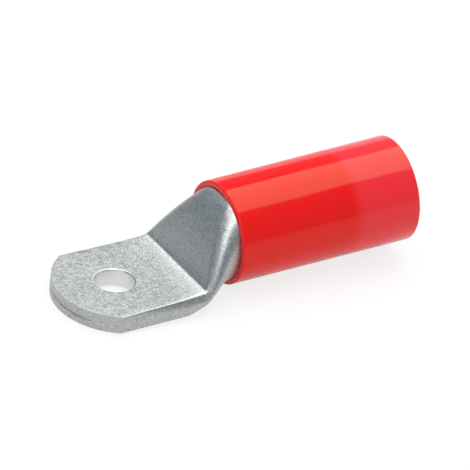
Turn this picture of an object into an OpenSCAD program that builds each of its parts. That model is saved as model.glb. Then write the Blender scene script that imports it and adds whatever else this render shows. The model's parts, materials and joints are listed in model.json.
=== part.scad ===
// Tubular cable lug with an insulating sleeve.
//
// A length of tinned copper tube is left round at one end, as the crimp barrel, and pressed flat at
// the other, as the palm with its bolt hole. Between them lies the swage: the ramp that the punch
// leaves, the sides that flare as the tube spreads, and the belly that flattens underneath.
// A plastic sleeve sits on the barrel, stops behind the flare and reaches past the cable mouth.
//
// Frame: origin at the bolt hole's centre on the palm's underside, +X along the barrel to the cable
// mouth, +Z up out of the palm. Millimetres.

/* [Tube and barrel] */
// Outside diameter of the tube that the lug is pressed from
tube_od = 19.5; // [14:0.1:25]
// Wall of the tube
tube_wall = 2; // [1.3:0.05:3]
// Round crimp barrel, from the end of the swage to the cable mouth
barrel_length = 25.1; // [15:0.1:36]
// Chamfer inside the cable mouth
mouth_chamfer = 0.5; // [0.2:0.1:0.8]

/* [Palm] */
// How much the pressing thins the two walls that make the palm
palm_coining = 0.1; // [0:0.05:0.4]
// Width of the palm over its rounded sides
palm_width = 26.2; // [22:0.1:29]
// Bolt hole diameter
hole_d = 8.4; // [5.3:0.1:13]
// Hole centre to the tip
hole_to_tip = 12.9; // [10:0.1:20]
// Hole centre to the crease at the foot of the ramp
hole_to_crease = 14.8; // [12:0.1:24]
// Radius of the sheared tip, seen from above
tip_radius = 15; // [13.5:0.1:24]
// Softened upper rim of the bolt hole
hole_rim_radius = 0.4; // [0.1:0.05:0.6]
// Height of the sloping band along the top of the palm's sides
side_band_height = 1.7; // [0.6:0.1:2]
// How far the top face stands back from the sides beside the crease
side_setback = 1.8; // [0.5:0.05:2.5]
// How far it stands back from them at the tip's corners
tip_setback = 0.2; // [0.1:0.05:0.45]
// Depth of the open seam between the two walls, along the sheared tip
seam_depth = 0.3; // [0.1:0.05:0.6]
// Opening of that seam at the face
seam_gap = 0.25; // [0.1:0.05:0.5]

/* [Swage] */
// Length of the ramp, from the crease to the round barrel
ramp_length = 11.8; // [10:0.1:18]
// Slope of the ramp where it leaves the crease, in degrees
ramp_angle = 65; // [50:1:68]
// Rounding at the foot of the ramp
crease_rounding = 0.6; // [0.1:0.05:1.2]
// How far the barrel hangs below the palm's underside
heel_drop = 0.55; // [0:0.05:1.5]
// Length over which the sides flare, from the crease towards the barrel
flare_length = 8; // [5:0.1:9]
// Length over which the belly is flattened
belly_length = 10; // [6:0.1:14]
// How much of that length lies on the palm's side of the crease
belly_lead = 4.1; // [2:0.1:7]

/* [Sleeve] */
// Overall length of the insulating sleeve
sleeve_length = 42; // [32:0.5:60]
// Wall of the sleeve
sleeve_wall = 1.1; // [0.8:0.05:2]
// Radial clearance between the sleeve and the barrel
sleeve_clearance = 0.15; // [0.05:0.01:0.3]
// Gap between the sleeve's front edge and the start of the flare
sleeve_gap = 1.2; // [0.3:0.1:2]
// Rounding of the sleeve's outer edges
sleeve_edge_radius = 0.35; // [0.2:0.05:0.75]

/* [Hidden] */

// Radii, heights and half widths
tube_r = tube_od / 2;
bore_r = tube_r - tube_wall;
axis_z = tube_r - heel_drop;
ramp_top_z = axis_z + tube_r;
palm_thickness = 2 * tube_wall - palm_coining;
band_z = palm_thickness - side_band_height;
half_width = palm_width / 2;
sleeve_inner_r = tube_r + sleeve_clearance;
sleeve_outer_r = sleeve_inner_r + sleeve_wall;

// Stations along X
tip_x = -hole_to_tip;
tip_centre_x = tip_x + tip_radius;
tip_corner_x = tip_centre_x - sqrt(pow(tip_radius, 2) - pow(half_width, 2));
crease_x = hole_to_crease;
barrel_x = crease_x + ramp_length;
mouth_x = barrel_x + barrel_length;
flare_x = crease_x + flare_length;
sleeve_x = flare_x + sleeve_gap;
belly_x = crease_x - belly_lead;

// Character of the swaged sections. In a corner, exponent 2 is an ellipse, lower is flatter and
// higher is boxier. In a blend along X, it says how early the change comes.
round_corner = 2;
band_corner = 1.2;
belly_corner = 3;
flare_onset = 0.6;
fold_onset = 2;
strip_onset = 0.7;
corner_onset = 1.5;
tip_onset = 1.5;
// Height of the fold at the crease, from 0 at the foot of the band to 1 at the top face
crease_fold = 0.4;
// Length in which the fold settles to the foot of the band
fold_settling = 5;
// How far the flat underside stands back from the sides, as a share of side_setback
belly_setback_share = 0.2;

// Facets, and the small laps that let solids run into each other
curve_fn = 96;
upper_steps = 10;
lower_steps = 8;
ramp_steps = 26;
palm_steps = 12;
cavity_upper_steps = 6;
cavity_lower_steps = 4;
cavity_steps = 9;
lap = 1;
skin = 0.02;
first_flat = 0.3;
pinch_gap = 0.2;

// Plain helpers
function blend(a, b, t) = a + (b - a) * t;
function clamp(t) = max(0, min(1, t));
function ease(t) = let (c = clamp(t)) c * c * (3 - 2 * c);
function reversed(list) = [for (i = [len(list) - 1:-1:0]) list[i]];

// Progress of each change along X, 0 where it starts and 1 where it is complete
function swage(x) = clamp((barrel_x - x) / ramp_length);
function palm(x) = clamp((crease_x - x) / (crease_x - tip_corner_x));
function flare(x) = pow(ease((flare_x - x) / flare_length), flare_onset);
function belly(x) = ease((belly_x + belly_length - x) / belly_length);
function settle(x) = ease((crease_x - x) / fold_settling);

// Height over the palm of the line that the punch follows. On the ramp it is a cubic that starts
// level and reaches the crease at ramp_angle, and past the crease it runs on below the palm.
ramp_drop = ramp_top_z - palm_thickness;
ramp_reach = ramp_length * tan(ramp_angle);
function punch(x) = x < crease_x
    ? (x - crease_x) * tan(ramp_angle)
    : let (t = swage(x)) ramp_drop * (1 - ease(t)) - ramp_reach * t * t * (t - 1);
function punch_slope(x) = let (t = swage(x))
    (6 * ramp_drop * t * (1 - t) + ramp_reach * t * (3 * t - 2)) / ramp_length;

// Top line of the lug: the higher of the punch's line and the palm, rounded where they meet
function top_z(x) = let (h = punch(x), foot = crease_rounding * (1 - settle(x)))
    palm_thickness + (h + sqrt(h * h + foot * foot)) / 2;

// Underside: the round tube's bottom line rises to the palm's underside
function bottom_z(x) = blend(axis_z - tube_r, 0, ease(swage(x)));

// Half width of the level strip on top, which is the mark of the punch
function strip_half(x) = let (fall = clamp(1 - punch(x) / ramp_drop))
    blend(blend(first_flat, half_width - side_setback, pow(fall, strip_onset)),
          half_width - tip_setback, pow(palm(x), tip_onset));

// Half width over the sides, and half width of the flat on the underside
function side_half(x) = blend(tube_r, half_width, flare(x));
function belly_half(x) = blend(first_flat, half_width - side_setback * belly_setback_share, belly(x));

// Height of the fold, which is the section's widest line
function fold_z(x) =
    blend(blend(axis_z, blend(band_z, palm_thickness, crease_fold), pow(swage(x), fold_onset)),
          band_z, settle(x));

// A quarter of a section, from [flat, level] at its flat to [side, fold] at its widest line
function corner(flat, level, side, fold, exponent, steps) = [
    for (i = [0:steps]) let (a = 90 * i / steps)
        [flat + (side - flat) * pow(sin(a), 2 / exponent),
         fold + (level - fold) * pow(cos(a), 2 / exponent)]
];

// Closed section from the upper and lower corners of its right half
function closed_section(upper, lower) =
    let (right = concat(upper, [for (i = [len(lower) - 2:-1:0]) lower[i]]))
    concat(right, [for (p = reversed(right)) [-p[0], p[1]]]);

// Outer section of the lug at x. Its round end is a skin smaller than the barrel that it runs into.
function outer_section(x) =
    let (s = blend(skin, 0, ease(swage(x))), side = side_half(x) - s,
         upper = blend(round_corner, band_corner, pow(swage(x), corner_onset)),
         lower = blend(round_corner, belly_corner, belly(x)))
    closed_section(corner(strip_half(x), top_z(x) - s, side, fold_z(x), upper, upper_steps),
                   corner(belly_half(x), bottom_z(x) + s, side, fold_z(x), lower, lower_steps));

// Section of the space inside the swage at x, under a roof of a given height
function inner_section(x, roof) =
    let (base = bottom_z(x) + tube_wall, side = side_half(x) - tube_wall - skin,
         inset = bore_r / tube_r, middle = (base + roof) / 2,
         fold = max(middle, min(fold_z(x), roof - pinch_gap / 2)))
    closed_section(corner(min(strip_half(x), side) * inset, roof, side, fold, round_corner,
                          cavity_upper_steps),
                   corner(min(belly_half(x), side) * inset, base + skin, side, fold, round_corner,
                          cavity_lower_steps));

// Skin over a row of sections, each [x, section], running towards -X
module loft(rows) {
    n = len(rows[0][1]);
    last = (len(rows) - 1) * n;
    points = [for (row = rows, p = row[1]) [row[0], p[0], p[1]]];
    sides = [for (r = [0:len(rows) - 2], i = [0:n - 1])
        let (here = r * n, next = here + n, j = (i + 1) % n)
        each [[here + i, next + i, next + j], [here + i, next + j, here + j]]];
    caps = [[for (i = [0:n - 1]) i], [for (i = [n - 1:-1:0]) last + i]];
    polyhedron(points, concat(sides, caps), convexity = 6);
}

// Swage and palm in one skin, from just inside the barrel to just past the tip
module swaged_blank() {
    on_ramp = [for (i = [0:ramp_steps]) barrel_x - ramp_length * i / ramp_steps];
    on_palm = [for (i = [1:palm_steps])
        blend(crease_x, tip_corner_x - lap, pow(i / palm_steps, 2))];
    stations = concat([barrel_x + lap], on_ramp, on_palm, [tip_x - lap]);
    loft([for (x = stations) [x, outer_section(x)]]);
}

// Space that the two walls leave as they come together, from the bore to the pinch. Its roof lies
// one wall inside the ramp, square to it.
module pinched_cavity() {
    roofs = [for (i = [0:cavity_steps])
        let (x = barrel_x - ramp_length * i / cavity_steps, a = atan(punch_slope(x)))
        [x + tube_wall * sin(a), palm_thickness + punch(x) - tube_wall * cos(a) - skin]];
    stations = concat([[barrel_x + lap, roofs[0][1]]], roofs,
                      [[crease_x, bottom_z(crease_x) + tube_wall + pinch_gap]]);
    loft([for (s = stations) [s[0], inner_section(s[0], s[1])]]);
}

// Everything on the barrel's side of the sheared tip, seen from above
module tip_outline() {
    reach = tube_od + palm_width;
    translate([tip_centre_x, 0, -reach]) cylinder(r = tip_radius, h = 2 * reach, $fn = curve_fn);
    translate([tip_centre_x, -reach, -reach]) cube([mouth_x, 2 * reach, 2 * reach]);
}

// Open seam between the walls, seen as a fine groove along the sheared tip. It ends a wall short of
// each side, where the tube is folded and not cut.
module tip_seam() {
    intersection() {
        translate([tip_centre_x, 0, palm_thickness / 2]) rotate_extrude($fn = curve_fn)
            polygon([[tip_radius - seam_depth, 0], [tip_radius + seam_depth, seam_gap],
                     [tip_radius + seam_depth, -seam_gap]]);
        translate([tip_x - lap, tube_wall - half_width, 0])
            cube([tip_corner_x - tip_x + lap, palm_width - 2 * tube_wall, palm_thickness]);
    }
}

// Bolt hole with the softened rim that the punch leaves on top
module bolt_hole() {
    hole_r = hole_d / 2;
    translate([0, 0, -lap]) cylinder(r = hole_r, h = palm_thickness + 2 * lap, $fn = curve_fn);
    translate([0, 0, palm_thickness - hole_rim_radius - skin]) rotate_extrude($fn = curve_fn)
        difference() {
            translate([hole_r - lap, 0]) square([lap + hole_rim_radius, lap]);
            translate([hole_r + hole_rim_radius, 0]) circle(r = hole_rim_radius, $fn = curve_fn);
        }
}

// Round solid along the barrel's axis between two stations
module along_barrel(from_x, to_x, from_r, to_r) {
    translate([from_x, 0, axis_z]) rotate([0, 90, 0])
        cylinder(r1 = from_r, r2 = to_r, h = to_x - from_x, $fn = curve_fn);
}

module cable_lug() color("silver") difference() {
    union() {
        intersection() {
            swaged_blank();
            tip_outline();
        }
        along_barrel(barrel_x, mouth_x, tube_r, tube_r);
    }
    along_barrel(barrel_x, mouth_x + lap, bore_r, bore_r);
    along_barrel(mouth_x - mouth_chamfer, mouth_x + lap, bore_r, bore_r + mouth_chamfer + lap);
    pinched_cavity();
    bolt_hole();
    tip_seam();
}

// What the rounding takes off a square corner at the origin, whose solid lies towards -X and +Y
module corner_waste(r) {
    difference() {
        translate([-r, -lap]) square(r + lap);
        translate([-r, r]) circle(r = r, $fn = curve_fn);
    }
}

// Wall of the sleeve in section, with both outer edges rounded
module sleeve_profile() {
    difference() {
        translate([sleeve_inner_r, 0]) square([sleeve_wall, sleeve_length]);
        translate([sleeve_outer_r, 0]) corner_waste(sleeve_edge_radius);
        translate([sleeve_outer_r, sleeve_length]) mirror([0, 1]) corner_waste(sleeve_edge_radius);
    }
}

module insulating_sleeve() color("red")
    translate([sleeve_x, 0, axis_z]) rotate([0, 90, 0])
        rotate_extrude($fn = curve_fn) sleeve_profile();

cable_lug();
insulating_sleeve();
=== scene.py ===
# Insulated cable lug: swaged and tinned lug, red sleeve, pale floor and soft studio light.
import json
import math

import bmesh
import bpy
from mathutils import Matrix, Vector


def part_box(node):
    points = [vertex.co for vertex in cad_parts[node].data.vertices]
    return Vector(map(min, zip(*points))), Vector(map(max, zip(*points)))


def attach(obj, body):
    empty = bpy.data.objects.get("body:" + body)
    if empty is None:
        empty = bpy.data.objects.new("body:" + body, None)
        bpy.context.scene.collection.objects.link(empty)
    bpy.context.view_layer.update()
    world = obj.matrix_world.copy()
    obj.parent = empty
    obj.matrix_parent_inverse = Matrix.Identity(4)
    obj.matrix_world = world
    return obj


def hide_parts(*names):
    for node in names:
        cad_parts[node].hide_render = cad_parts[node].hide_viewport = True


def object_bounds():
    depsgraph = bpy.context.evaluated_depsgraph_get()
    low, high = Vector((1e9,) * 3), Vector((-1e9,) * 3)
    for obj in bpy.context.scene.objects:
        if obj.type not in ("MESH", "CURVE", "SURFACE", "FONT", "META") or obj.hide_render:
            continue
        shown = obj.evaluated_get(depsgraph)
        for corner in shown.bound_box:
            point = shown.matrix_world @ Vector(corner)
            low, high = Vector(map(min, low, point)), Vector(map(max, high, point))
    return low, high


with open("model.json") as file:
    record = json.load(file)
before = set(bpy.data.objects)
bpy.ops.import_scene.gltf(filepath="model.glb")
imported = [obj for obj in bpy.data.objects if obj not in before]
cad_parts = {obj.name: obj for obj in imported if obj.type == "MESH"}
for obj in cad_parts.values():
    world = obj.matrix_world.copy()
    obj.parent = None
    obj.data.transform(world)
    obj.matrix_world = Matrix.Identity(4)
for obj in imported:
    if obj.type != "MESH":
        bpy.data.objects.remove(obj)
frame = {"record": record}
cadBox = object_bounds()
print("frame loaded")

mm = 0.001
weldDistance = 1e-4 * mm
mounts = {m["name"]: m for m in frame["record"]["mounts"]}
lugLow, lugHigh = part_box("cable_lug")
sleeveLow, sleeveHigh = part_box("insulating_sleeve")
axisZ = (lugLow.z + lugHigh.z) / 2
tubeR = (lugHigh.z - lugLow.z) / 2
holeR = mounts["bolt_hole"]["dims"]["r_mm"] * mm
halfWidth = lugHigh.y
tipX, mouthX = lugLow.x, lugHigh.x
sleeveR = sleeveHigh.y


def blend(a, b, t):
    return a + (b - a) * t


def clamp(t):
    return max(0.0, min(1.0, t))


def ease(t):
    c = clamp(t)
    return c * c * (3 - 2 * c)


def addPiece(name, bm, material, node=None, smoothAngle=38):
    bmesh.ops.recalc_face_normals(bm, faces=bm.faces[:])
    mesh = bpy.data.meshes.new(name)
    bm.to_mesh(mesh)
    bm.free()
    mesh.shade_smooth()
    mesh.set_sharp_from_angle(angle=math.radians(smoothAngle))
    mesh.materials.append(material)
    piece = bpy.data.objects.new(name, mesh)
    bpy.context.scene.collection.objects.link(piece)
    if node:
        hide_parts(node)
        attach(piece, "root")
    return piece


lug = {
    "wall": 2.0 * mm,
    "mouthChamfer": 0.5 * mm,
    "pinchGap": 0.2 * mm,          # height of the inner space where it ends
    # palm
    "palmThickness": 3.9 * mm,
    "tipRadius": 15 * mm,
    "tipEdge": 0.06 * mm,          # softened edges of the sheared tip
    "seamDepth": 0.2 * mm,
    "seamGap": 0.15 * mm,
    "seamHeight": 1.65 * mm,
    "bandHeight": 1.7 * mm,        # sloping band along the palm's sides
    "sideSetback": 1.2 * mm,       # of the level top from the sides, at the crease
    "tipSetback": 0.2 * mm,        # and at the tip
    "setbackPower": 0.75,
    "softEdge": 0.17 * mm,         # softening where a flat meets its side
    "softCrease": 0.55 * mm,       # the same at the crease, within softReach of it
    "softReach": 5 * mm,
    "softShare": 0.8,              # a softening takes no more of its flat than this
    # ramp
    "creaseX": 14.8 * mm,
    "creaseRounding": 0.6 * mm,
    "creaseLift": 0.45 * mm,       # slow rise of the palm towards the ramp
    "liftLength": 8 * mm,
    "liftPower": 2,
    "rampLength": 11.8 * mm,
    "rampSlope": 65,               # degrees at the crease
    "firstFlat": 0.3 * mm,         # half width of the level strips on the barrel
    "stripStart": 2.4 * mm,        # what the punch soon widens the upper one to
    "stripOnset": 5,               # over the ramp's first 1/5
    # sides and belly
    "flareLength": 10 * mm,
    "bellyLead": 4.7 * mm,         # the flat underside begins to narrow this far before the crease
    "bellyLength": 10.6 * mm,      # and has narrowed to firstFlat after this
    "bellySetback": 0.36 * mm,
    "creaseFold": 0.1,             # height of the fold at the crease, as a share from band to top
    "foldPower": 2,
    "foldSettling": 5 * mm,        # and the length over which it sinks to the band
    "foldRounding": 1.0 * mm,      # eases the fold's bend at the crease
    "foldOnset": 4,                # and comes in over the ramp's first 1/4
    # corner curves: 2 is an ellipse, less is flatter and more is fuller
    "roundCorner": 2,
    "foldedCorner": 1.3,
    "foldedPower": 0.9,
    "bellyCorner": 3,
    "bellyPower": 2,
    # rows of the mesh
    "flatSteps": 8, "edgeSteps": 4, "cornerSteps": 16, "cornerHalvings": 30,
    "tipRows": (0.4, 0.7), "tipEdgeSteps": 3,
    "firstRow": 0.998,             # a row close behind the tip keeps the palm's shading flat
    "palmSteps": 46, "palmCrowding": 1.8, "palmTurning": 2.2,
    "rampSteps": 70, "rampCrowding": 1.5,
    "cavitySteps": 26,
    "slimEdge": 1e-5 * mm,         # shorter edges than this are taken out
    # bolt hole
    "holeRim": 0.45 * mm, "rimSteps": 8,
    "rimLift": 0.004 * mm,         # the rim ends this far above the palm, for a clean cut
    "cutterReach": 2 * mm,         # past both faces of the palm
    "cutterTurns": 160,
    "cutWeld": 2e-3 * mm,          # joins the points that the cut doubles
    "smoothAngle": 66,
}

boreR = tubeR - lug["wall"]
creaseX = lug["creaseX"]
barrelX = creaseX + lug["rampLength"]
flareX = creaseX + lug["flareLength"]
bellyX = creaseX - lug["bellyLead"]
bandZ = lug["palmThickness"] - lug["bandHeight"]
tipCentreX = tipX + lug["tipRadius"]
cornerReach = math.sqrt(lug["tipRadius"] ** 2 - halfWidth ** 2)
tipCornerX = tipCentreX - cornerReach
rampDrop = lugHigh.z - lug["palmThickness"]
rampReach = lug["rampLength"] * math.tan(math.radians(lug["rampSlope"]))


def swage(x):  # 0 on the barrel, 1 from the crease to the tip
    return clamp((barrelX - x) / lug["rampLength"])


def punch(x):  # line of the punch over the palm: a cubic on the ramp, straight below it
    if x < creaseX:
        return (x - creaseX) * math.tan(math.radians(lug["rampSlope"]))
    t = swage(x)
    return rampDrop * (1 - ease(t)) - rampReach * t * t * (t - 1)


def punchSlope(x):
    t = swage(x)
    return (6 * rampDrop * t * (1 - t) + rampReach * t * (3 * t - 2)) / lug["rampLength"]


def settle(x):  # 0 on the ramp, 1 where the palm's sides run level
    return ease((creaseX - x) / lug["foldSettling"])


def fall(x):  # 0 where the ramp starts, 1 at the crease and on the palm
    return clamp(1 - punch(x) / rampDrop)


def topZ(x):
    h, foot = punch(x), lug["creaseRounding"] * (1 - settle(x))
    rise = clamp((x - creaseX) / lug["liftLength"] + 1) ** lug["liftPower"]
    return lug["palmThickness"] + lug["creaseLift"] * rise * fall(x) + (h + math.hypot(h, foot)) / 2


def bottomZ(x):
    return blend(lugLow.z, 0, ease(swage(x)))


def stripHalf(x):  # half width of the level strip that the punch leaves
    palm = clamp((creaseX - x) / (creaseX - tipCornerX))
    bitten = blend(lug["firstFlat"], lug["stripStart"], ease(swage(x) * lug["stripOnset"]))
    onRamp = blend(bitten, halfWidth - lug["sideSetback"], fall(x))
    return blend(onRamp, halfWidth - lug["tipSetback"], palm ** lug["setbackPower"])


def sideHalf(x):
    return blend(tubeR, halfWidth, ease((flareX - x) / lug["flareLength"]))


def belly(x):
    return ease((bellyX + lug["bellyLength"] - x) / lug["bellyLength"])


def bellyHalf(x):
    return blend(lug["firstFlat"], halfWidth - lug["bellySetback"], belly(x))


def foldZ(x):  # height at which the upper and lower halves meet
    power, rounding = lug["foldPower"], lug["foldRounding"]
    atCrease = blend(bandZ, lug["palmThickness"], lug["creaseFold"])
    h = (x - creaseX) * power * (axisZ - atCrease) / lug["rampLength"]
    onset = ease(swage(x) * lug["foldOnset"])
    bend = (math.hypot(h, rounding) - abs(h)) / 2 * (1 - settle(x)) * onset
    return blend(blend(axisZ, atCrease, swage(x) ** power), bandZ, settle(x)) + bend


def softness(x):
    return blend(lug["softCrease"], lug["softEdge"], clamp(abs(x - creaseX) / lug["softReach"]))


# from the end of a flat, round its softened edge and along the corner's curve to the fold
def corner(flat, level, side, fold, exponent, soft=lug["softEdge"]):
    def at(a):
        return (flat + (side - flat) * math.sin(a) ** (2 / exponent),
                fold + (level - fold) * max(0.0, math.cos(a)) ** (2 / exponent))

    soft = min(soft, lug["softShare"] * flat)
    low, high = 0.0, math.pi / 2
    for _ in range(lug["cornerHalvings"]):
        start = (low + high) / 2
        if math.dist(at(start), (flat, level)) < soft:
            low = start
        else:
            high = start
    end, n = at(start), lug["edgeSteps"]
    points = []
    for i in range(n):
        t = i / n
        points.append((flat - soft * (1 - t) ** 2 + (end[0] - flat) * t * t,
                       level + (end[1] - level) * t * t))
    steps = lug["cornerSteps"]
    return points + [at(blend(start, math.pi / 2, i / steps)) for i in range(steps + 1)]


def closedSection(upper, lower):  # right half from the top's middle to the underside's middle
    n = lug["flatSteps"]
    flat, level = upper[0]
    under, base = lower[0]
    right = ([(flat * i / n, level) for i in range(n)] + upper + lower[-2::-1]
             + [(under * (n - i) / n, base) for i in range(1, n + 1)])
    return right + [(-y, z) for y, z in right[-2:0:-1]]


def outerSection(x):
    above = blend(lug["roundCorner"], lug["foldedCorner"], swage(x) ** lug["foldedPower"])
    below = blend(lug["roundCorner"], lug["bellyCorner"], belly(x) ** lug["bellyPower"])
    return closedSection(corner(stripHalf(x), topZ(x), sideHalf(x), foldZ(x), above, softness(x)),
                         corner(bellyHalf(x), bottomZ(x), sideHalf(x), foldZ(x), below))


def innerSection(x, roof):  # the space that the two walls leave, under a roof
    base = bottomZ(x) + lug["wall"]
    side = sideHalf(x) - lug["wall"]
    fold = max((base + roof) / 2, min(foldZ(x), roof - lug["pinchGap"] / 2))
    inset, curve = boreR / tubeR, lug["roundCorner"]
    return closedSection(corner(min(stripHalf(x), side) * inset, roof, side, fold, curve),
                         corner(min(bellyHalf(x), side) * inset, base, side, fold, curve))


def tipReach(y):  # how far the sheared tip stands in front of its corners
    return math.sqrt(max(0.0, lug["tipRadius"] ** 2 - y * y)) - cornerReach


def tipStations():  # seam, sheared face and its softened edges, from the groove outwards
    section = outerSection(tipCornerX)
    middle, edge = lug["seamHeight"], lug["tipEdge"]
    seam = lug["seamGap"] / 2 / middle
    seamEnd = 1 - lug["wall"] / halfWidth    # the tube's folded sides stay closed

    def faceRing(depth, share, narrow):
        spread = blend(seamEnd, 1, clamp((share - seam) / (1 - seam)))
        ring = []
        for y, z in section:
            y = math.copysign(min(abs(y), halfWidth - narrow), y) * spread
            fade = 1 - (y / halfWidth / seamEnd) ** 2
            ring.append((tipCornerX - tipReach(y) + depth * fade, y, middle + (z - middle) * share))
        return ring

    stations = [faceRing(lug["seamDepth"], 0, edge)]
    for share in (seam, *lug["tipRows"], 1 - edge / middle):
        stations.append(faceRing(0, share, edge))
    steps = lug["tipEdgeSteps"]
    for i in range(1, steps + 1):
        a = math.pi / 2 * i / steps
        off = edge * (1 - math.sin(a))
        stations.append(faceRing(edge * (1 - math.cos(a)), 1 - off / middle, off))
    return stations


def palmStations():  # rows that turn from the tip's curve to straight across
    stations = []
    n, edge = lug["palmSteps"], lug["tipEdge"]
    for share in [lug["firstRow"]] + [i / n for i in range(n - 1, 0, -1)]:
        x = blend(creaseX, tipCornerX, share ** lug["palmCrowding"])
        pull = ease(share ** lug["palmTurning"])
        stations.append([(x - tipReach(y) * pull + edge * pull, y, z) for y, z in outerSection(x)])
    return stations


def barrelStations():  # up the ramp and along the barrel
    stations = []
    n = lug["rampSteps"]
    for i in range(n + 1):
        x = blend(creaseX, barrelX, (i / n) ** lug["rampCrowding"])
        stations.append([(x, y, z) for y, z in outerSection(x)])
    stations.append([(mouthX, y, z) for y, z in outerSection(barrelX)])
    return stations


def boreStations():  # mouth, bore and the pinched space
    boreRing = innerSection(barrelX, axisZ + boreR)
    chamfer = (boreR + lug["mouthChamfer"]) / boreR
    stations = [[(mouthX, y * chamfer, axisZ + (z - axisZ) * chamfer) for y, z in boreRing],
                [(mouthX - lug["mouthChamfer"], y, z) for y, z in boreRing]]
    n = lug["cavitySteps"]
    for i in range(n + 1):
        x = barrelX - lug["rampLength"] * i / n
        slope = math.atan(punchSlope(x))
        roofX = x + lug["wall"] * math.sin(slope)
        roof = lug["palmThickness"] + punch(x) - lug["wall"] * math.cos(slope)
        stations.append([(roofX, y, z) for y, z in innerSection(roofX, roof)])
    roof = bottomZ(creaseX) + lug["wall"] + lug["pinchGap"]
    stations.append([(creaseX, y, z) for y, z in innerSection(creaseX, roof)])
    return stations


def growRing(bm, ring):
    edges = [bm.edges.get((a, b)) for a, b in zip(ring, ring[1:] + ring[:1])]
    fresh = {g for g in bmesh.ops.extrude_edge_only(bm, edges=edges)["geom"]
             if isinstance(g, bmesh.types.BMVert)}
    return [next(e.other_vert(v) for e in v.link_edges if e.other_vert(v) in fresh) for v in ring]


def closeSeam(bm, ring):  # the groove's bottom closes onto one line
    half = len(ring) // 2
    pairs = {}
    for i in range(1, half // 2):
        pairs[ring[i]] = ring[half - i]
        pairs[ring[-i]] = ring[half + i]
    pairs[ring[0]] = ring[half]
    bmesh.ops.weld_verts(bm, targetmap=pairs)


def buildLugBody():
    stations = tipStations() + palmStations() + barrelStations() + boreStations()
    bm = bmesh.new()
    ring = list(bmesh.ops.create_circle(bm, segments=len(stations[0]), radius=mm)["verts"])
    first = ring
    for number, station in enumerate(stations):
        if number:
            ring = growRing(bm, ring)
        for vert, place in zip(ring, station):
            vert.co = place
    bmesh.ops.contextual_create(bm, geom=ring)
    closeSeam(bm, first)
    bmesh.ops.dissolve_degenerate(bm, edges=bm.edges[:], dist=lug["slimEdge"])
    return bm


def buildHoleCutter():
    rim, top, steps = lug["holeRim"], lug["palmThickness"], lug["rimSteps"]
    profile = [(holeR, 0, -lug["cutterReach"])]
    for i in range(steps + 1):
        a = math.pi / 2 * i / steps
        profile.append((holeR + rim * (1 - math.cos(a)), 0,
                        top - rim * (1 - math.sin(a)) + lug["rimLift"]))
    profile.append((holeR + rim, 0, top + lug["cutterReach"]))
    bm = bmesh.new()
    verts = [bm.verts.new(p) for p in profile]
    edges = [bm.edges.new(pair) for pair in zip(verts, verts[1:])]
    bmesh.ops.spin(bm, geom=verts + edges, cent=(0, 0, 0), axis=(0, 0, 1), dvec=(0, 0, 0),
                   angle=math.tau, steps=lug["cutterTurns"], use_merge=True)
    bmesh.ops.remove_doubles(bm, verts=bm.verts[:], dist=weldDistance)
    bmesh.ops.holes_fill(bm, edges=bm.edges[:], sides=0)
    return bm


def punchHole(body, cutter):
    cut = body.modifiers.new("boltHole", "BOOLEAN")
    cut.operation = "DIFFERENCE"
    cut.solver = "EXACT"
    cut.object = cutter
    bpy.context.view_layer.update()
    shown = body.evaluated_get(bpy.context.evaluated_depsgraph_get())
    bm = bmesh.new()
    bm.from_mesh(bpy.data.meshes.new_from_object(shown))
    for spare in (cutter, body):
        bpy.data.objects.remove(spare)
    bmesh.ops.remove_doubles(bm, verts=bm.verts[:], dist=lug["cutWeld"])
    return bm


def newMaterial(name):
    material = bpy.data.materials.new(name)
    material.use_nodes = True
    tree = material.node_tree
    return material, tree, tree.nodes["Principled BSDF"]


def feed(tree, node, sources):  # links what is a socket and sets what is a value
    for key, source in sources.items():
        if isinstance(source, bpy.types.NodeSocket):
            tree.links.new(source, node.inputs[key])
        else:
            node.inputs[key].default_value = source


def addNode(tree, kind, sources=(), **values):
    node = tree.nodes.new(kind)
    for key, value in values.items():
        setattr(node, key, value)
    feed(tree, node, dict(sources))
    return node


def addNoise(tree, place, size, detail=2.0, roughness=0.5):
    return addNode(tree, "ShaderNodeTexNoise", {"Vector": place, "Scale": 1 / size, "Detail": detail,
                                                "Roughness": roughness}).outputs["Fac"]


def addRange(tree, value, low, high, toLow, toHigh, curve="LINEAR"):
    return addNode(tree, "ShaderNodeMapRange",
                   {"Value": value, "From Min": low, "From Max": high,
                    "To Min": toLow, "To Max": toHigh}, interpolation_type=curve).outputs["Result"]


def addMath(tree, operation, a, b):
    return addNode(tree, "ShaderNodeMath", {0: a, 1: b}, operation=operation).outputs[0]


def addMix(tree, factor, a, b):  # sockets 6, 7 and 2 are the colour ones
    return addNode(tree, "ShaderNodeMix", {0: factor, 6: a, 7: b}, data_type="RGBA").outputs[2]


def addBump(tree, height, depth, before=None):
    sources = {"Height": height, "Distance": depth, "Strength": 1.0}
    if before:
        sources["Normal"] = before
    return addNode(tree, "ShaderNodeBump", sources).outputs["Normal"]


noiseSpread = (0.3, 0.7)    # most of a noise lies between these
tin = {
    "brighter": (0.65, 0.648, 0.65, 1),
    "duller": (0.425, 0.424, 0.427, 1),
    "patchiness": 0.12,
    "holeWallPaintedLight": (0.86, 0.87, 0.88, 1),      # painted brightness on the punched hole's wall, standing in for the light it reflects from the pale floor
    "holeWallPaintedLightReach": (0.02 * mm, 0.15 * mm),   # fades between these, out from the wall
    "roughness": (0.28, 0.44),
    "grainSize": 0.30 * mm,        # crystals of the tin
    "grainDetail": 1,
    "grainSpread": (0.34, 0.66),
    "grainDepth": 0.032 * mm,
    "mottleSize": 0.9 * mm,
    "mottleDetail": 4,
    "mottleRoughness": 0.6,
    "cloudSize": 5 * mm,
    "waviness": 0.10 * mm,         # unevenness that the press leaves
}


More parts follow.
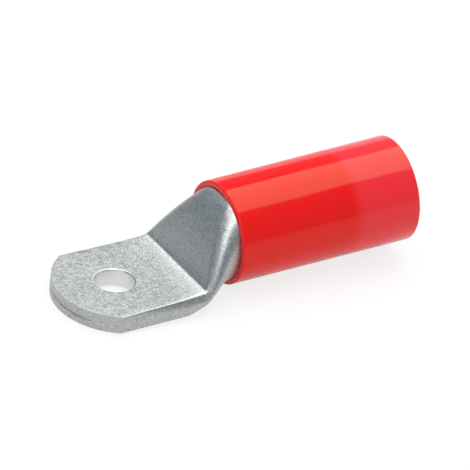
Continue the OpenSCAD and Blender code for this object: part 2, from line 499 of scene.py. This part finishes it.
def makeTin():
    material, tree, shader = newMaterial("tinnedCopper")
    place = addNode(tree, "ShaderNodeTexCoord").outputs["Object"]
    grain = addNoise(tree, place, tin["grainSize"], tin["grainDetail"])
    mottle = addNoise(tree, place, tin["mottleSize"], tin["mottleDetail"], tin["mottleRoughness"])
    cloud = addNoise(tree, place, tin["cloudSize"])
    speckle = addRange(tree, grain, *tin["grainSpread"], 0, 1)
    patch = addRange(tree, mottle, *noiseSpread, -tin["patchiness"], tin["patchiness"])
    plain = addMix(tree, addMath(tree, "ADD", speckle, patch), tin["duller"], tin["brighter"])
    # the hole's wall is what lies nearest to the Z axis; it gets painted brightness in place of
    # reflected light
    axis = addNode(tree, "ShaderNodeSeparateXYZ", {"Vector": place}).outputs
    flat = addNode(tree, "ShaderNodeCombineXYZ", {"X": axis["X"], "Y": axis["Y"]}).outputs[0]
    away = addNode(tree, "ShaderNodeVectorMath", {0: flat}, operation="LENGTH").outputs["Value"]
    near, far = tin["holeWallPaintedLightReach"]
    # share of the painted brightness: full on the hole's wall, fading outwards
    wall = addRange(tree, away, holeR + near, holeR + far, 1, 0)
    uneven = addBump(tree, cloud, tin["waviness"])
    feed(tree, shader, {
        "Base Color": addMix(tree, wall, plain, tin["holeWallPaintedLight"]),
        "Metallic": 1,
        "Roughness": addRange(tree, mottle, *noiseSpread, *tin["roughness"]),
        "Normal": addBump(tree, grain, tin["grainDepth"], uneven),
    })
    return material


plastic = {
    "overBarrel": (0.83, 0.005, 0.010, 1),
    "throughWallPaintedLight": (0.86, 0.025, 0.043, 1),      # painted light shining through the thin wall, lighter where no metal lies behind it
    "fade": 1.5 * mm,
    "roughness": (0.10, 0.16),
    "refraction": 1.42,
    "sheen": (0.20, 1.0, 0.60, 1),
    "depth": 1.5 * mm,             # how far light wanders inside the wall
    "depthByColour": (1, 0.25, 0.15),
    "depthShare": 0.25,
    "waveLength": 14 * mm,
    "waveDetail": 0,
    "waveDepth": 0.30 * mm,
}


def makePlastic():
    material, tree, shader = newMaterial("redSleevePlastic")
    place = addNode(tree, "ShaderNodeTexCoord").outputs["Object"]
    along = addNode(tree, "ShaderNodeSeparateXYZ", {"Vector": place}).outputs["X"]
    fade = plastic["fade"]
    # share of the painted light shining through the wall, rising past the barrel's end
    throughWallShare = addRange(tree, along, mouthX - fade, mouthX + fade, 0, 1, "SMOOTHSTEP")
    wave = addNoise(tree, place, plastic["waveLength"], plastic["waveDetail"])
    feed(tree, shader, {
        "Base Color": addMix(tree, throughWallShare, plastic["overBarrel"], plastic["throughWallPaintedLight"]),
        "Normal": addBump(tree, wave, plastic["waveDepth"]),
        "Roughness": addRange(tree, wave, *noiseSpread, *plastic["roughness"]),
        "IOR": plastic["refraction"],
        "Specular Tint": plastic["sheen"],
        "Subsurface Weight": plastic["depthShare"],
        "Subsurface Radius": plastic["depthByColour"],
        "Subsurface Scale": plastic["depth"],
    })
    return material


metal = makeTin()
redPlastic = makePlastic()
print("materials made")

cutter = addPiece("holeCutter", buildHoleCutter(), metal)
body = addPiece("lugBody", buildLugBody(), metal)
swagedLug = addPiece("swagedLug", punchHole(body, cutter), metal, "cable_lug", lug["smoothAngle"])
print("lug:", len(swagedLug.data.polygons), "faces")

sleeve = {
    "wall": 1.19 * mm,
    "edge": 0.35 * mm, "edgeSteps": 8,
    "innerEdge": 0.08 * mm, "innerEdgeSteps": 3,
    "turns": 192,
}


def roundOff(bm, verts, size, steps):
    bmesh.ops.bevel(bm, geom=verts, offset=size, offset_type="OFFSET", segments=steps,
                    profile=0.5, affect="VERTICES", material=-1)


def buildSleeve():
    inner = sleeveR - sleeve["wall"]
    front, rear = sleeveLow.x, sleeveHigh.x
    corners = [(front, inner), (front, sleeveR), (rear, sleeveR), (rear, inner)]
    bm = bmesh.new()
    verts = [bm.verts.new((x, 0, axisZ + r)) for x, r in corners]
    bm.faces.new(verts)
    roundOff(bm, verts[1:3], sleeve["edge"], sleeve["edgeSteps"])
    bore = [v for v in bm.verts if abs(v.co.z - axisZ - inner) < weldDistance]
    roundOff(bm, bore, sleeve["innerEdge"], sleeve["innerEdgeSteps"])
    bmesh.ops.delete(bm, geom=bm.faces[:], context="FACES_ONLY")
    bmesh.ops.spin(bm, geom=bm.verts[:] + bm.edges[:], cent=(0, 0, axisZ), axis=(1, 0, 0),
                   dvec=(0, 0, 0), angle=math.tau, steps=sleeve["turns"], use_merge=True)
    bmesh.ops.remove_doubles(bm, verts=bm.verts[:], dist=weldDistance)
    return bm


redSleeve = addPiece("redSleeve", buildSleeve(), redPlastic, "insulating_sleeve")
print("sleeve:", len(redSleeve.data.polygons), "faces")

view = {
    "lookAlong": (0.458, 0.706, -0.540),
    "cameraUp": (0.2223, 0.4975, 0.8385),
    "frameWidth": 96.45 * mm,
    "aside": 3.65 * mm,     # frame centre from the sleeve's front centre, to the right
    "above": -0.47 * mm,    # and upwards
    "distance": 0.6,
    "nearest": 0.01,
    "farthest": 10,
}


def addCamera():
    forward = Vector(view["lookAlong"]).normalized()
    right = forward.cross(Vector(view["cameraUp"])).normalized()
    up = right.cross(forward)
    aim = Vector((sleeveLow.x, 0, axisZ)) + right * view["aside"] + up * view["above"]
    camera = bpy.data.objects.new("camera", bpy.data.cameras.new("camera"))
    bpy.context.scene.collection.objects.link(camera)
    bpy.context.scene.camera = camera
    camera.data.type = "ORTHO"
    camera.data.ortho_scale = view["frameWidth"]
    camera.data.clip_start, camera.data.clip_end = view["nearest"], view["farthest"]
    turn = Matrix((right, up, -forward)).transposed().to_4x4()
    camera.matrix_world = Matrix.Translation(aim - forward * view["distance"]) @ turn


addCamera()
print("camera set")

studio = {
    "floorHalf": 1.5,
    "floorColour": (0.86, 0.86, 0.86, 1),
    "floorGlow": 0.80,             # of the floor as the camera sees it
    "glowInMetal": 0.60,           # and as the metal reflects it
    "shadowShare": 0.22,           # how much light and shadow show on it
    "backdropZ": -0.4,
    "airColour": (0.77, 0.93, 1.0, 1),
    "air": 0.37,
}
white = (1, 1, 1, 1)


def buildGround(height, tilt=0.0):
    bm = bmesh.new()
    bmesh.ops.create_grid(bm, x_segments=1, y_segments=1, size=studio["floorHalf"])
    turn = Matrix.Rotation(tilt, 3, "Y")
    bmesh.ops.rotate(bm, verts=bm.verts[:], cent=(0, 0, 0), matrix=turn)
    bmesh.ops.translate(bm, verts=bm.verts[:], vec=(tipX, 0, height))
    return bm


def makeFloorPaint():
    material, tree, shader = newMaterial("floorPaint")
    tree.nodes.remove(shader)
    paint = addNode(tree, "ShaderNodeBsdfDiffuse", {"Color": studio["floorColour"]}).outputs[0]
    dim = addNode(tree, "ShaderNodeMixShader", {0: 1 - studio["shadowShare"], 1: paint}).outputs[0]
    rays = addNode(tree, "ShaderNodeLightPath").outputs
    strength = addRange(tree, rays["Is Camera Ray"], 0, 1, studio["glowInMetal"], studio["floorGlow"])
    glow = addNode(tree, "ShaderNodeEmission", {"Color": white, "Strength": strength}).outputs[0]
    seen = addNode(tree, "ShaderNodeAddShader", {0: dim, 1: glow}).outputs[0]
    direct = addMath(tree, "MAXIMUM", rays["Is Camera Ray"], rays["Is Glossy Ray"])
    direct = addMath(tree, "MAXIMUM", direct, rays["Is Transmission Ray"])
    choice = addNode(tree, "ShaderNodeMixShader", {0: direct, 1: paint, 2: seen}).outputs[0]
    feed(tree, tree.nodes["Material Output"], {"Surface": choice})
    return material


def makeWhite():
    material, tree, shader = newMaterial("backdropWhite")
    tree.nodes.remove(shader)
    glow = addNode(tree, "ShaderNodeEmission", {"Color": white, "Strength": 1}).outputs[0]
    feed(tree, tree.nodes["Material Output"], {"Surface": glow})
    return material


# the lug lies on its tip and on the sleeve's front edge
floorTilt = math.atan2(-sleeveLow.z, sleeveLow.x + sleeve["edge"] - tipX)
floor = addPiece("floor", buildGround(0, floorTilt), makeFloorPaint())
# white ground under the floor, seen where a low view starts below it
backdrop = addPiece("backdrop", buildGround(studio["backdropZ"]), makeWhite())

softboxes = {    # size is along X first, and brightness holds whatever the size
    "overhead": {"towards": (0.14, 0.118, 0.857), "distance": 0.7, "size": (0.95, 0.75),
                 "brightness": 2.3, "colour": (1, 0.97, 0.90)},
    "shoulder": {"towards": (-0.17, -0.51, 0.84), "distance": 0.7, "size": (0.30, 0.28),
                 "brightness": 3.3},
    "backHigh": {"towards": (0.12, 0.76, 0.62), "distance": 0.8, "size": (0.34, 0.30),
                 "brightness": 1.7},
    "backRight": {"towards": (0.74, 0.57, 0.44), "distance": 0.8, "size": (0.24, 0.36),
                  "brightness": 2.8},
    "backLow": {"towards": (0.50, 0.85, 0.10), "distance": 0.9, "size": (0.9, 0.20),
                "brightness": 0.6},
    "leftFill": {"towards": (-0.80, -0.55, 0.25), "distance": 0.8, "size": (0.5, 0.4),
                 "brightness": 1.0},
}


def addAir():
    world = bpy.data.worlds.new("studio")
    bpy.context.scene.world = world
    world.use_nodes = True
    background = world.node_tree.nodes["Background"]
    feed(world.node_tree, background, {"Color": studio["airColour"], "Strength": studio["air"]})


def addSoftbox(name, towards, distance, size, brightness, colour=(1, 1, 1)):
    light = bpy.data.lights.new(name, "AREA")
    light.shape = "RECTANGLE"
    light.size, light.size_y = size
    light.energy = brightness * math.pi * size[0] * size[1]
    light.color = colour
    lamp = bpy.data.objects.new(name, light)
    bpy.context.scene.collection.objects.link(lamp)
    back = Vector(towards).normalized()
    wide = (Vector((1, 0, 0)) - back * back.x).normalized()
    centre = (cadBox[0] + cadBox[1]) / 2
    turn = Matrix((wide, back.cross(wide), back)).transposed().to_4x4()
    lamp.matrix_world = Matrix.Translation(centre + back * distance) @ turn


addAir()
for name, box in softboxes.items():
    addSoftbox(name, **box)
bpy.context.scene.view_settings.view_transform = "Standard"
print("stage set")
